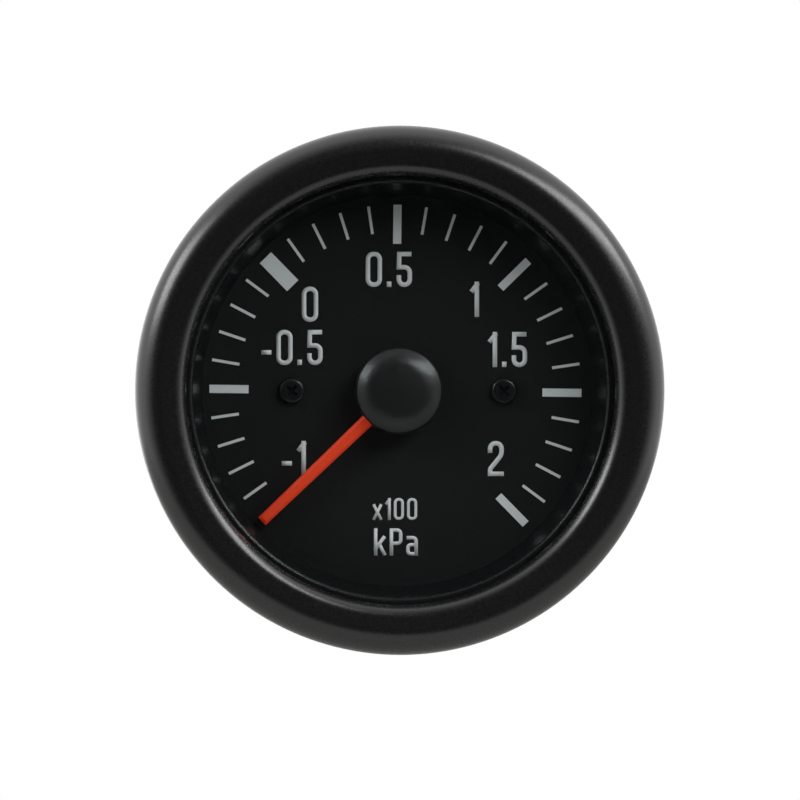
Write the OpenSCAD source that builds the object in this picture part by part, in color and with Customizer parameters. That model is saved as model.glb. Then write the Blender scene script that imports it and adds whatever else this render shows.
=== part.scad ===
// Round panel boost gauge: formed case and bezel, flat lens, Bourdon tube movement.
// Each piece is drawn in the gauge's own frame: z runs along the axis towards the
// viewer, y towards the top of the dial, and z = 0 is the face that meets the panel.
// placed() then stands the gauge up, so that its dial looks along -Y.

/* [Bezel] */
// Outer radius of the bezel
bezel_r = 30; // [29:0.25:33]
// Width of the sloped outer edge, seen from the front
slope_w = 1.8; // [1.2:0.1:2.4]
// Depth of the sloped outer edge, along the axis
slope_h = 2.2; // [1.4:0.1:3]
// Width of the flat front face of the ring
face_w = 2.3; // [1.6:0.1:2.6]
// How far the front face falls towards the lens
face_dish = 0.3; // [0:0.05:0.6]
// Radius of the rounded inner lip
lip_round = 1.6; // [1.2:0.1:2]
// Straight end of the lip that presses on the lens
lip_end = 0.3; // [0.1:0.05:0.8]
// Radius of the bezel's back edge, where it rolls in behind the flange
back_round = 1; // [0.9:0.05:1.5]

/* [Case] */
// Outer radius of the case, which passes through the panel
case_r = 26; // [25:0.25:26.5]
// Depth of the case behind the panel's front face
case_depth = 32; // [29:0.5:45]
// Radius of the case's rear edge
case_round = 3; // [1.5:0.25:5]
// Thickness of the sheet that the bezel and the case are formed from
sheet_t = 0.8; // [0.5:0.05:0.85]

/* [Lens and seals] */
// Thickness of the lens
lens_t = 1.5; // [1:0.1:2.5]
// Thickness of the rubber ring under the lens
gasket_t = 1.5; // [0.8:0.1:2.5]
// How far the wall of the spacer ring leans in from the lens to the dial
spacer_lean = 1.7; // [0.5:0.1:2.2]
// Wall of the spacer ring
spacer_t = 0.8; // [0.5:0.05:1]

/* [Dial] */
// Depth of the dial's face behind the panel's front face
dial_depth = 2; // [1.5:0.1:4]
// Thickness of the dial
dial_t = 0.5; // [0.3:0.05:1]
// Distance of each dial screw from the centre
dial_screw_x = 12.1; // [10.5:0.1:13]
// Radius at which the scale marks end
scale_r = 21; // [19:0.1:21.5]
// Angle from the lowest mark to the highest
scale_angle = 270; // [180:10:300]
// Number of small steps on the scale
scale_steps = 30; // [15:1:60]
// Small steps from one large mark to the next
steps_per_large = 5; // [2:1:10]
// Step that stands at zero on the scale
zero_step = 10; // [0:1:15]
// Length of a small mark
small_mark_l = 3.1; // [2:0.1:4]
// Width of a small mark
small_mark_w = 0.4; // [0.2:0.05:0.8]
// Length of a large mark
large_mark_l = 4.4; // [3:0.1:5]
// Width of a large mark
large_mark_w = 0.92; // [0.4:0.02:1.6]
// Width of the mark at zero
zero_mark_w = 1.78; // [0.6:0.02:2.4]

/* [Pointer] */
// Length of the pointer from the axis to its tip
pointer_l = 21.5; // [15:0.1:21.8]
// Width of the pointer at the cap
pointer_w = 1.55; // [1:0.05:2.2]
// Width of the pointer at its tip
pointer_tip_w = 1.05; // [0.5:0.05:1.6]
// Thickness of the pointer
pointer_t = 0.8; // [0.4:0.05:1]
// Gap between the dial and the pointer
pointer_gap = 1.3; // [0.9:0.05:1.6]
// Angle of the pointer at rest, to the left of the top of the dial
pointer_rest = 133.7; // [130:0.1:140]
// Radius of the cap over the pointer's hub
cap_r = 4.95; // [3.5:0.05:6]
// Height of the cap
cap_h = 3.2; // [2.4:0.05:3.6]

/* [Movement] */
// Module of the sector and pinion teeth
gear_module = 0.2; // [0.16:0.01:0.22]
// Teeth of the pinion
pinion_teeth = 12; // [12:1:14]
// Teeth that the sector would have if it went all round
sector_full_teeth = 120; // [110:1:130]
// Teeth cut on the sector
sector_teeth = 17; // [15:2:19]
// Play between the flanks of meshed teeth
backlash = 0.03; // [0.02:0.005:0.06]
// Direction of the sector's pivot from the pinion, from the right-hand side
sector_dir = -35; // [-40:1:-30]
// Length of the sector's tail, from its pivot to the link's pin
tail_l = 5.5; // [4.5:0.1:6]
// Length of the link between its pins
link_l = 11; // [9.5:0.1:11.5]
// Thickness of the movement's plates
plate_t = 1; // [0.8:0.05:1.4]
// Free height between the plates
pillar_l = 5.5; // [5.4:0.1:7]
// Length of the posts that carry the dial
post_l = 7; // [5:0.1:8]
// Turns of the hairspring
hair_turns = 4; // [2:1:5]
// Outer radius of the hairspring
hair_r = 5.2; // [4:0.1:6]

/* [Bourdon tube] */
// Radius of the tube's centre line
tube_r = 19.5; // [19:0.1:20.5]
// Direction of the tube's free end, above the right-hand side
tube_end_dir = 10; // [6:1:14]
// Width of the tube along the axis
tube_w = 7; // [5:0.1:7.4]
// Thickness of the flattened tube
tube_t = 2.2; // [1.6:0.05:2.6]
// Wall of the tube
tube_wall = 0.3; // [0.2:0.02:0.5]

/* [Rear fittings] */
// Radius of the socket's outside thread
socket_r = 5; // [4:0.1:6]
// Width of the socket nut across its flats
nut_af = 14; // [13:0.5:17]
// Thickness of the socket nut
nut_t = 4; // [2:0.25:6]
// Radius of the hose nipple's stem and of its barbs
stem_r = 2.5; // [2.3:0.05:3]
// Length of the plain part of the stem
stem_l = 5; // [3:0.25:8]
// Number of barbs
barbs = 3; // [1:1:5]
// Length of one barb
barb_l = 2; // [1.2:0.1:3]
// Distance of each stud from the axis
stud_x = 16; // [14:0.25:18]
// Radius of the mounting studs
stud_r = 2; // [1.5:0.1:2.5]
// Length of the studs behind the case
stud_l = 14; // [6:0.5:25]

/* [Lamp] */
// Distance of the lamp above the axis
lamp_y = 15.5; // [14.5:0.25:16.5]
// Radius of the lamp holder's barrel
lamp_r = 5.4; // [4.5:0.1:5.8]
// Radius of the bulb's glass
bulb_r = 2.6; // [1.8:0.1:3]
// Width of the blade terminals
blade_w = 4.8; // [2.8:0.1:6.3]
// Free length of the blade terminals
blade_l = 7; // [5:0.5:9]

/* [Hidden] */
$fn = 96;

// Overrun of every cut
over = 0.5;
// Gap of a pressed or screwed fit
press_gap = 0.02;
// Gap of a running fit
run_gap = 0.04;
// Gap of parts that slip together
slip_gap = 0.1;
// End play of each arbor
end_play = 0.1;
// Steps on a formed corner
corner_steps = 8;

// Heights of the stack at the front, from the panel up
flange_z = sheet_t;
gasket_z = flange_z + sheet_t;
lens_z = gasket_z + gasket_t;
lens_top = lens_z + lens_t;
face_z = lens_top + lip_end + lip_round;
bezel_h = face_z + face_dish;

// Radii of the bezel, from the outside in
ridge_r = bezel_r - slope_w;
face_r = ridge_r - face_w;
lip_r = face_r - lip_round;
roll_gap = 0.2;
roll_r = case_r + sheet_t + roll_gap;

// Case flange, lens, rubber ring and spacer ring
flange_gap = 0.5;
flange_r = bezel_r - sheet_t - flange_gap;
case_in_r = case_r - sheet_t;
lens_edge_gap = 1;
lens_r = bezel_r - sheet_t - lens_edge_gap;
gasket_w = 1.3;
gasket_in_r = lens_r - gasket_w;
spacer_edge_gap = 0.3;
spacer_rim_r = gasket_in_r - spacer_edge_gap;
spacer_top_gap = 1.2;
spacer_top_r = case_in_r - spacer_top_gap;
spacer_round = 0.6;
spacer_foot_r = spacer_top_r - spacer_lean;

// Dial
dial_z = -dial_depth;
dial_back = dial_z - dial_t;
dial_gap = 0.3;
dial_r = case_in_r - dial_gap;
dial_hole_r = 2.2;
print_t = 0.05;
dial_spots = [for (s = [-1, 1]) [s * dial_screw_x, 0]];

// Pointer, its bush and its cap
blade_z = dial_z + pointer_gap;
blade_top_share = 0.55;
blade_edge_share = 0.45;
blade_end = 0.05;
hub_ring_r = 2.6;
cap_low = 0.2;
cap_skirt_share = 0.42;
cap_wall = 0.7;
cap_dome_steps = 10;
cap_z = blade_z - cap_low;
cap_dome_h = cap_h * (1 - cap_skirt_share);
cap_skirt_z = cap_z + cap_h * cap_skirt_share;
cap_side_gap = 0.15;
cap_grip_r = 2.3;
bush_r = 1.5;
bush_low = 0.6;
bush_rise_share = 0.5;
bush_top = blade_z + pointer_t + bush_rise_share * cap_h - cap_wall;

// Screws of the dial and the movement
dial_head_r = 1.5;
dial_head_h = 0.8;
dial_shank_r = 0.8;
dial_shank_l = 3.5;
recess_w = 0.4;
recess_share = 0.62;
recess_depth_share = 0.55;
plate_head_r = 1.8;
plate_head_h = 0.8;
plate_shank_r = 0.9;
plate_shank_l = 3;

// Movement levels, from the dial back
front_z = dial_back - post_l;
front_back = front_z - plate_t;
rear_z = front_back - pillar_l;
rear_back = rear_z - plate_t;
post_r = 2;
post_rivet_r = 1;
pillar_r = 1.5;
pillar_rivet_r = 0.8;
plate_lobe_r = 2.8;
plate_arm_w = 3.6;
plate_eye_r = 3.4;
pillar_shares = [[-0.85, 0.8], [0.85, 0.8], [-0.85, -0.8]];
pillar_ring = 10;
pillars = [for (p = pillar_shares) pillar_ring * p];
block_r = 6.5;
block_screw_low = 9;
screw_edge_gap = 0.3;
block_screw_y = [block_r - plate_head_r - screw_edge_gap, -block_screw_low];

// Gears
full_turn = 360;
press_angle = 25;
root_depth_share = 1.25;
flank_steps = 3;
pinion_pitch_r = gear_module * pinion_teeth / 2;
sector_pitch_r = gear_module * sector_full_teeth / 2;
gear_ratio = sector_full_teeth / pinion_teeth;
centres = pinion_pitch_r + sector_pitch_r;
pivot = centres * [cos(sector_dir), sin(sector_dir)];
half_swing = scale_angle / 2 / gear_ratio;
sector_rest = -pointer_rest / gear_ratio;
sector_face_dir = full_turn / 2 + sector_dir + sector_rest;

// Arbors
arbor_r = 0.75;
arbor_front_r = 0.6;
arbor_pivot_r = 0.4;
pinion_face = 2;
sector_arbor_r = 1;
sector_pivot_r = 0.45;
sector_t = 1;
sector_drop = 2;
sector_z = front_back - sector_drop;
pinion_mid = sector_z - sector_t / 2;
sector_hub_r = 2.2;
sector_hub_over = 0.8;
sector_rim_t = 1.6;
sector_arm_w = 1.8;
sector_arm_angle = 18;
tail_w = 2;
tail_dir = sector_rest;
tail_at = pivot + tail_l * [cos(tail_dir), sin(tail_dir)];
eye_r = 1.4;
tail_pin_r = 0.55;
pin_head_r = 0.9;
pin_head_h = 0.3;

// Link and tube end
link_gap = 0.2;
link_t = 0.6;
link_z = sector_z + link_gap + link_t;
link_w = 1.5;
open_gap = 0.13;
lug_x = pivot[0] + tail_l * (1 + cos(half_swing)) / 2;
lug_gap = 0.1;
lug_t = 0.7;
lug_z = link_z + lug_gap + lug_t;
lug_w = 1.8;
lug_r = 1.3;
plug_t = 0.35;
plug_angle = 14;
plug_in_angle = 5;
// The pin at the tube's end is half way between the link's nearest and farthest run
tip_pin_at = [lug_x, tail_at[1] + link_l];

// Hairspring
hair_t = 0.12;
hair_w = 0.6;
hair_gap = 0.8;
hair_z = front_back - hair_gap;
hair_collet_r = 1.6;
hair_collet_w = 0.9;
hair_pitch = (hair_r - hair_collet_r - hair_t) / hair_turns;
hair_steps = 24;
hair_end_dir = 60;
hair_stud_w = 1;

// Tube and socket block
tube_in_r = tube_r - tube_t / 2;
tube_mid = (front_z + rear_back) / 2;
tube_down_dir = 270;
tube_root_dir = 276;
over_angle = 1;
block_w = 9;
block_arm_h = 9;
cheek_l = 6;
cheek_cover = 1.2;
cheek_angle = tube_down_dir - atan(block_w / tube_in_r);
block_low_y = -tube_r - cheek_l / 2;
block_bore_r = 1.2;
feed_drop = 4.5;
feed_r = 1;
feed_x = 1.2;
drill_over = 0.6;

// Rear of the case and what stands on it
rear = -case_depth;
rear_in = rear + sheet_t;
hole_gap = 0.1;
washer_r = 8;
washer_t = 1;
thread_over = 2;
socket_end = rear - washer_t - nut_t - thread_over;
nipple_hex_af = 8;
nipple_hex_h = 3;
nipple_thread_r = 2.2;
nipple_thread_l = 4.5;
nipple_bore_r = 1.2;
stem_top = socket_end - nipple_hex_h;
barb_drop = 0.5;
barb_land_share = 0.2;
stud_head_r = 3.5;
stud_head_h = 1;
stud_shoulder = 0.4;
stud_tip = 0.6;

// Lamp holder
lamp_flange_r = 7;
lamp_flange_t = 1.5;
lamp_depth = 4;
lamp_neck_r = 5;
lamp_neck_l = 6.5;
lamp_back = rear - lamp_flange_t - lamp_neck_l;
lamp_lug_w = 2.4;
lamp_lug_over = 1;
lamp_lug_t = 1;
lamp_slot_l = lamp_r + lamp_lug_over + hole_gap;
lamp_pocket_r = 3;
lamp_pocket_l = 5;
bulb_foot = rear + lamp_depth - lamp_pocket_l;
lamp_grips = 10;
lamp_grip_r = 0.7;
bulb_l = 8.5;
bulb_base_t = 1.9;
bulb_base_w = 4.6;
bulb_base_l = 3.5;
blade_t = 0.8;
blade_gap = 5;
blade_in = 4;
blade_hole_r = 0.7;
blade_tip = 0.9;

black = "#17181a";
brass = "#b8964a";
steel = "#9aa0a6";

// Stands a piece up, with its front towards -Y
module placed() rotate([90, 0, 0]) children();

// Points on an arc about c
function arc(c, r, from, to, n) = [for (i = [0:n])
    let (a = from + (to - from) * i / n) c + r * [cos(a), sin(a)]];

function back(list) = [for (i = [len(list) - 1:-1:0]) list[i]];

function polar(r, a) = r * [cos(a), sin(a)];

// Unit normal to the left of the run from p to q
function left_of(p, q) = [p[1] - q[1], q[0] - p[0]] / norm(q - p);

// The path moved to its left by t, with mitred corners
function inset(path, t) = [for (i = [0:len(path) - 1])
    let (last = len(path) - 1,
        a = left_of(path[max(i - 1, 0)], path[max(i, 1)]),
        b = left_of(path[min(i, last - 1)], path[min(i + 1, last)]))
    path[i] + (a + b) * t / (1 + a * b)];

// A sheet of thickness t formed along a path of radius and height
module formed(path, t) rotate_extrude() polygon(concat(path, back(inset(path, t))));

// A ring between two radii, from z0 up to z1
module ring(r_in, r_out, z0, z1) translate([0, 0, z0]) difference() {
    cylinder(r = r_out, h = z1 - z0);
    translate([0, 0, -over]) cylinder(r = r_in, h = z1 - z0 + 2 * over);
}

// A round bar from z0 up to z1
module bar_z(r, z0, z1) translate([0, 0, z0]) cylinder(r = r, h = z1 - z0);

// A flat strip between two points
module strip(p, q, w) translate(p) rotate(atan2(q[1] - p[1], q[0] - p[0]))
    translate([0, -w / 2]) square([norm(q - p), w]);

module hexagon(af) circle(r = af / 2 / cos(30), $fn = 6);

// A cross-headed screw whose head stands on z
module screw(z, head_r, head_h, shank_r, shank_l) difference() {
    union() {
        bar_z(head_r, z, z + head_h);
        bar_z(shank_r, z - shank_l, z);
    }
    for (a = [45, 135]) rotate(a)
        translate([-head_r * recess_share, -recess_w / 2, z + head_h * (1 - recess_depth_share)])
            cube([2 * head_r * recess_share, recess_w, head_h]);
}

// Bezel: one formed ring, rolled in behind the flange of the case
module bezel() color(black) placed() formed(concat(
    [[roll_r, 0]],
    arc([bezel_r - back_round, back_round], back_round, -90, 0, corner_steps),
    [[bezel_r, bezel_h - slope_h], [ridge_r, bezel_h]],
    arc([face_r, face_z - lip_round], lip_round, 90, 180, corner_steps),
    [[lip_r, lens_top]]), sheet_t);

module lens() color("#dfe8ee", 0.35) placed() bar_z(lens_r, lens_z, lens_top);

module gasket() color(black) placed() ring(gasket_in_r, lens_r, gasket_z, lens_z);

// Spacer ring: a leaning wall from the dial to a rim under the lens
module spacer_ring() color(black) placed() rotate_extrude() polygon(concat(
    [[spacer_foot_r + spacer_t, dial_z], [spacer_top_r + spacer_t, lens_z - spacer_t],
     [spacer_rim_r, lens_z - spacer_t], [spacer_rim_r, lens_z]],
    arc([spacer_top_r + spacer_round, lens_z - spacer_round], spacer_round, 90, 180, corner_steps),
    [[spacer_foot_r, dial_z]]));

// Case: one drawn cup with a flange, and its rear wall pierced
module case() color("#8c9196") placed() difference() {
    formed(concat(
        [[0, rear]],
        arc([case_r - case_round, rear + case_round], case_round, -90, 0, corner_steps),
        arc([case_r + sheet_t, 0], sheet_t, 180, 90, corner_steps),
        [[flange_r, flange_z]]), sheet_t);
    bar_z(socket_r + hole_gap, rear - over, rear_in + over);
    for (s = [-1, 1]) translate([s * stud_x, 0])
        bar_z(stud_r + stud_shoulder + press_gap, rear - over, rear_in + over);
    translate([0, lamp_y]) {
        bar_z(lamp_r + hole_gap, rear - over, rear_in + over);
        linear_extrude_between(rear - over, rear_in + over) strip(
            [-lamp_slot_l, 0], [lamp_slot_l, 0], lamp_lug_w + 2 * hole_gap);
    }
}

// Straight extrusion of a flat shape from z0 up to z1
module linear_extrude_between(z0, z1) translate([0, 0, z0]) linear_extrude(z1 - z0) children();

module dial() color("#141517") placed() difference() {
    bar_z(dial_r, dial_back, dial_z);
    bar_z(dial_hole_r, dial_back - over, dial_z + over);
    for (s = [-1, 1]) translate([s * dial_screw_x, 0])
        bar_z(dial_shank_r + slip_gap, dial_back - over, dial_z + over);
}

// Printed scale: one bar for each step, longer and wider at the large ones
module scale_marks() color("#a9acae") placed() for (i = [0:scale_steps]) {
    large = i % steps_per_large == 0;
    l = large ? large_mark_l : small_mark_l;
    w = i == zero_step ? zero_mark_w : large ? large_mark_w : small_mark_w;
    rotate(90 + scale_angle / 2 - scale_angle * i / scale_steps)
        translate([scale_r - l, -w / 2, dial_z]) cube([l, w, print_t]);
}

module dial_screws() color(black) placed() for (s = [-1, 1]) translate([s * dial_screw_x, 0])
    screw(dial_z, dial_head_r, dial_head_h, dial_shank_r, dial_shank_l);

// Section of the pointer's blade
module blade_section(w) rotate([90, 0, 90]) linear_extrude(blade_end) polygon([
    [-w / 2, 0], [w / 2, 0], [w / 2, pointer_t * blade_edge_share],
    [w / 2 * blade_top_share, pointer_t], [-w / 2 * blade_top_share, pointer_t],
    [-w / 2, pointer_t * blade_edge_share]]);

// Pointer: a bevelled blade on a thin hub ring
module pointer_blade() color("#e23a12") placed() difference() {
    union() {
        rotate(90 + pointer_rest) translate([0, 0, blade_z]) hull() {
            translate([bush_r, 0, 0]) blade_section(pointer_w);
            translate([pointer_l - blade_end, 0, 0]) blade_section(pointer_tip_w);
        }
        bar_z(hub_ring_r, blade_z, blade_z + pointer_t);
    }
    bar_z(bush_r + press_gap, blade_z - over, blade_z + pointer_t + over);
}

// Half section of a dome on a straight skirt
module dome_2d(r, h, z0, z1) polygon(concat([[0, z0], [r, z0]],
    [for (i = [0:cap_dome_steps]) let (a = 90 * i / cap_dome_steps)
        [r * cos(a), z1 + h * sin(a)]]));

// Cap: a domed cup that grips the bush and lets the blade out through its skirt
module pointer_cap() color(black) placed() difference() {
    rotate_extrude() difference() {
        dome_2d(cap_r, cap_dome_h, cap_z, cap_skirt_z);
        difference() {
            dome_2d(cap_r - cap_wall, cap_dome_h - cap_wall, cap_z - over, cap_skirt_z);
            translate([0, blade_z + pointer_t]) square([cap_grip_r, cap_h]);
        }
    }
    bar_z(bush_r + press_gap, cap_z - over, bush_top);
    rotate(90 + pointer_rest) translate([bush_r, -pointer_w / 2 - cap_side_gap, cap_z - over])
        cube([cap_r, pointer_w + 2 * cap_side_gap, over + cap_low + pointer_t + cap_side_gap]);
}

module pointer_bush() color(brass) placed()
    ring(arbor_front_r + press_gap, bush_r, blade_z - bush_low, bush_top - slip_gap);

// Gear teeth
function involute(a) = tan(a) * 180 / PI - a;

// Half of the angle that a tooth of a gear of n teeth takes at radius r
function tooth_half(n, r) =
    let (base = gear_module * n / 2 * cos(press_angle), a = r > base ? acos(base / r) : 0)
    90 / n - backlash / (2 * gear_module * n) * 180 / PI + involute(press_angle) - involute(a);

// Outline of one tooth about the direction c, from root to tip and back
function tooth(n, c) =
    let (pitch = gear_module * n / 2,
        low = pitch - gear_module * root_depth_share,
        high = pitch + gear_module,
        rise = [for (i = [0:flank_steps]) low + (high - low) * i / flank_steps])
    concat([for (r = rise) polar(r, c - tooth_half(n, r))],
        [for (r = back(rise)) polar(r, c + tooth_half(n, r))]);

function joined(lists) = [for (l = lists) each l];

// Pinion arbor: one turned shaft with the pinion cut on it
module pinion_arbor() color(steel) placed() {
    rotate(sector_dir + full_turn / 2 / pinion_teeth + pointer_rest)
        linear_extrude_between(pinion_mid - pinion_face / 2, pinion_mid + pinion_face / 2)
            polygon(joined([for (k = [0:pinion_teeth - 1])
                tooth(pinion_teeth, full_turn * k / pinion_teeth)]));
    bar_z(arbor_pivot_r, rear_back, rear_z + end_play);
    bar_z(arbor_r, rear_z + end_play, front_back - end_play);
    bar_z(arbor_front_r, front_back - end_play, bush_top - slip_gap);
}

// Sector: toothed rim on two arms, with a tail for the link
module sector_flat() difference() {
    last = (sector_teeth - 1) / 2;
    tooth_angle = full_turn / sector_full_teeth;
    union() {
        intersection() {
            polygon(concat(
                joined([for (k = [-last:last])
                    tooth(sector_full_teeth, sector_face_dir + tooth_angle * k)]),
                back(arc([0, 0], sector_pitch_r - sector_rim_t, sector_face_dir - tooth_angle * last,
                    sector_face_dir + tooth_angle * last, corner_steps))));
            circle(r = centres);
        }
        for (s = [-1, 1]) strip([0, 0],
            polar(sector_pitch_r - sector_rim_t / 2, sector_face_dir + s * sector_arm_angle),
            sector_arm_w);
        circle(r = sector_hub_r);
        strip([0, 0], polar(tail_l, tail_dir), tail_w);
        translate(polar(tail_l, tail_dir)) circle(r = eye_r);
    }
    circle(r = sector_arbor_r + press_gap);
    translate(polar(tail_l, tail_dir)) circle(r = tail_pin_r + press_gap);
}

module sector_gear() color(brass) placed() translate(pivot) {
    linear_extrude_between(sector_z - sector_t, sector_z) sector_flat();
    ring(sector_arbor_r + press_gap, sector_hub_r, sector_z, sector_z + sector_hub_over);
    ring(sector_arbor_r + press_gap, sector_hub_r,
        sector_z - sector_t - sector_hub_over, sector_z - sector_t);
}

module sector_arbor() color(steel) placed() translate(pivot) {
    bar_z(sector_pivot_r, rear_back, front_z);
    bar_z(sector_arbor_r, rear_z + end_play, front_back - end_play);
}

// Pin on the sector's tail, riveted at the back, headed in front of the link
module tail_pin() color(steel) placed() translate(tail_at) {
    bar_z(tail_pin_r, sector_z - sector_t, link_z + slip_gap);
    bar_z(pin_head_r, link_z + slip_gap, link_z + slip_gap + pin_head_h);
}

// Link: a thin strap with an eye at each end
module link() color(steel) placed()
    linear_extrude_between(link_z - link_t, link_z) difference() {
        union() {
            strip(tail_at, tail_at + [0, link_l], link_w);
            translate(tail_at) circle(r = eye_r);
            translate(tail_at + [0, link_l]) circle(r = eye_r);
        }
        translate(tail_at) circle(r = tail_pin_r + run_gap);
        translate(tail_at + [0, link_l]) circle(r = tail_pin_r + open_gap);
    }

// Flattened section of the tube, standing on its edge
module tube_section(grow) {
    h = tube_w / 2 - tube_t / 2;
    translate([tube_in_r - grow, -h]) square([tube_t + 2 * grow, 2 * h]);
    for (s = [-1, 1]) translate([tube_r, s * h]) circle(r = tube_t / 2 + grow);
}

module tube_run(from, to, grow) translate([0, 0, tube_mid]) rotate(from)
    rotate_extrude(angle = to - from) tube_section(grow);

module bourdon_tube() color(brass) placed() difference() {
    tube_run(tube_end_dir, tube_root_dir, 0);
    tube_run(tube_end_dir - over_angle, tube_root_dir + over_angle, -tube_wall);
}

// Plug that closes the tube's free end, with the lug that the link pulls
module tip_plug() color(brass) placed() difference() {
    union() {
        tube_run(tube_end_dir - plug_angle, tube_end_dir, plug_t);
        tube_run(tube_end_dir, tube_end_dir + plug_in_angle, -tube_wall - slip_gap);
        linear_extrude_between(lug_z - lug_t, lug_z) {
            strip(tip_pin_at, [tube_in_r, tip_pin_at[1]], lug_w);
            translate(tip_pin_at) circle(r = lug_r);
        }
    }
    translate(tip_pin_at) bar_z(tail_pin_r + press_gap, lug_z - lug_t - over, lug_z + over);
}

module tip_pin() color(steel) placed() translate(tip_pin_at) {
    bar_z(tail_pin_r, link_z - link_t - slip_gap, lug_z);
    bar_z(pin_head_r, link_z - link_t - slip_gap - pin_head_h, link_z - link_t - slip_gap);
}

// Hairspring: a flat spiral from the collet to the stud
function hair_line(out) = [for (i = [0:hair_turns * hair_steps])
    let (turn = i / hair_steps)
    polar(hair_collet_r + hair_pitch * turn + out, hair_end_dir + full_turn * (turn - hair_turns))];

module hairspring() color("#5b6f8c") placed()
    linear_extrude_between(hair_z - hair_w, hair_z)
        polygon(concat(hair_line(hair_t), back(hair_line(0))));

module hair_collet() color(brass) placed()
    ring(arbor_r + press_gap, hair_collet_r, hair_z - hair_w, hair_z - hair_w + hair_collet_w);

module hair_stud() color(brass) placed() rotate(hair_end_dir)
    translate([hair_r, -hair_stud_w, hair_z - hair_w])
        cube([hair_stud_w, hair_stud_w, front_back - hair_z + hair_w]);

// Movement plates: a centre disc with an arm to each lobe
module plate_flat(spots) {
    circle(r = plate_eye_r);
    for (p = spots) {
        strip([0, 0], p, plate_arm_w);
        translate(p) circle(r = plate_lobe_r);
    }
}

module front_plate() color(brass) placed() difference() {
    linear_extrude_between(front_back, front_z) plate_flat(concat(pillars, [pivot], dial_spots));
    bar_z(arbor_front_r + run_gap, front_back - over, front_z + over);
    translate(pivot) bar_z(sector_pivot_r + run_gap, front_back - over, front_z + over);
    for (p = pillars) translate(p) bar_z(plate_shank_r + slip_gap, front_back - over, front_z + over);
    for (p = dial_spots) translate(p) bar_z(post_rivet_r + press_gap, front_back - over, front_z + over);
}

module rear_plate() color(brass) placed() difference() {
    linear_extrude_between(rear_back, rear_z)
        plate_flat(concat(pillars, [pivot], [for (y = block_screw_y) [0, y]]));
    bar_z(arbor_pivot_r + run_gap, rear_back - over, rear_z + over);
    translate(pivot) bar_z(sector_pivot_r + run_gap, rear_back - over, rear_z + over);
    for (p = pillars) translate(p) bar_z(pillar_rivet_r + press_gap, rear_back - over, rear_z + over);
    for (y = block_screw_y) translate([0, y])
        bar_z(plate_shank_r + slip_gap, rear_back - over, rear_z + over);
}

module plate_pillars() color(brass) placed() for (p = pillars) translate(p) difference() {
    union() {
        bar_z(pillar_r, rear_z, front_back);
        bar_z(pillar_rivet_r, rear_back, rear_z);
    }
    bar_z(plate_shank_r + press_gap, front_back - plate_shank_l, front_back + over);
}

module dial_posts() color(brass) placed() for (p = dial_spots) translate(p) difference() {
    union() {
        bar_z(post_r, front_z, dial_back);
        bar_z(post_rivet_r, front_back, front_z);
    }
    bar_z(dial_shank_r + press_gap, dial_back - dial_shank_l, dial_back + over);
}

module plate_screws() color(steel) placed() for (p = pillars) translate(p)
    screw(front_z, plate_head_r, plate_head_h, plate_shank_r, plate_t + plate_shank_l - slip_gap);

module block_screws() color(steel) placed() for (y = block_screw_y) translate([0, y])
    screw(rear_z, plate_head_r, plate_head_h, plate_shank_r, plate_t + plate_shank_l);

// Socket block: boss, arm and cheek in one brass piece, with the pressure way drilled in it
module socket_block() color(brass) placed() difference() {
    union() {
        bar_z(block_r, rear_in, rear_back);
        bar_z(socket_r, socket_end, rear_in);
        translate([-block_w / 2, block_low_y, rear_back - block_arm_h])
            cube([block_w, -block_low_y, block_arm_h]);
        translate([-block_w / 2, block_low_y, rear_back])
            cube([block_w, cheek_l, tube_mid + tube_w / 2 + cheek_cover - rear_back]);
    }
    tube_run(cheek_angle, tube_root_dir + over_angle / 2, slip_gap / 2);
    bar_z(nipple_thread_r + press_gap, socket_end - over, socket_end + nipple_thread_l + slip_gap);
    bar_z(block_bore_r, socket_end - over, rear_back - feed_drop + feed_r + drill_over);
    translate([0, 0, rear_back - feed_drop]) rotate([90, 0, 0])
        cylinder(r = feed_r, h = tube_r + feed_r + drill_over);
    translate([feed_x, -tube_r]) bar_z(feed_r, rear_back - feed_drop - feed_r - drill_over, tube_mid);
    for (y = block_screw_y) translate([0, y])
        bar_z(plate_shank_r + press_gap, rear_back - plate_shank_l - slip_gap, rear_back + over);
}

module socket_washer() color("#5a2d22") placed()
    ring(socket_r + hole_gap, washer_r, rear - washer_t, rear);

module socket_nut() color(brass) placed() difference() {
    linear_extrude_between(rear - washer_t - nut_t, rear - washer_t) hexagon(nut_af);
    bar_z(socket_r + press_gap, rear - washer_t - nut_t - over, rear - washer_t + over);
}

// Hose nipple: thread, hexagon, plain stem and barbs, bored through
module hose_nipple() color(brass) placed() difference() {
    union() {
        bar_z(nipple_thread_r, socket_end, socket_end + nipple_thread_l);
        linear_extrude_between(stem_top, socket_end) hexagon(nipple_hex_af);
        bar_z(stem_r, stem_top - stem_l, stem_top);
        translate([0, 0, stem_top - stem_l]) mirror([0, 0, 1]) rotate_extrude()
            polygon(concat([[0, 0]],
                joined([for (i = [0:barbs - 1]) [
                    [stem_r - barb_drop, i * barb_l], [stem_r, i * barb_l],
                    [stem_r, (i + barb_land_share) * barb_l]]]),
                [[stem_r - barb_drop, barbs * barb_l], [0, barbs * barb_l]]));
    }
    bar_z(nipple_bore_r, stem_top - stem_l - barbs * barb_l - over, socket_end + nipple_thread_l + over);
}

// Mounting studs: clinched in from inside by a shoulder, with a chamfered end
module mounting_studs() color(steel) placed() for (s = [-1, 1]) translate([s * stud_x, 0])
    rotate_extrude() polygon([[0, rear_in + stud_head_h], [stud_head_r, rear_in + stud_head_h],
        [stud_head_r, rear_in], [stud_r + stud_shoulder, rear_in], [stud_r + stud_shoulder, rear],
        [stud_r, rear], [stud_r, rear - stud_l + stud_tip],
        [stud_r - stud_tip, rear - stud_l], [0, rear - stud_l]]);

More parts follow.
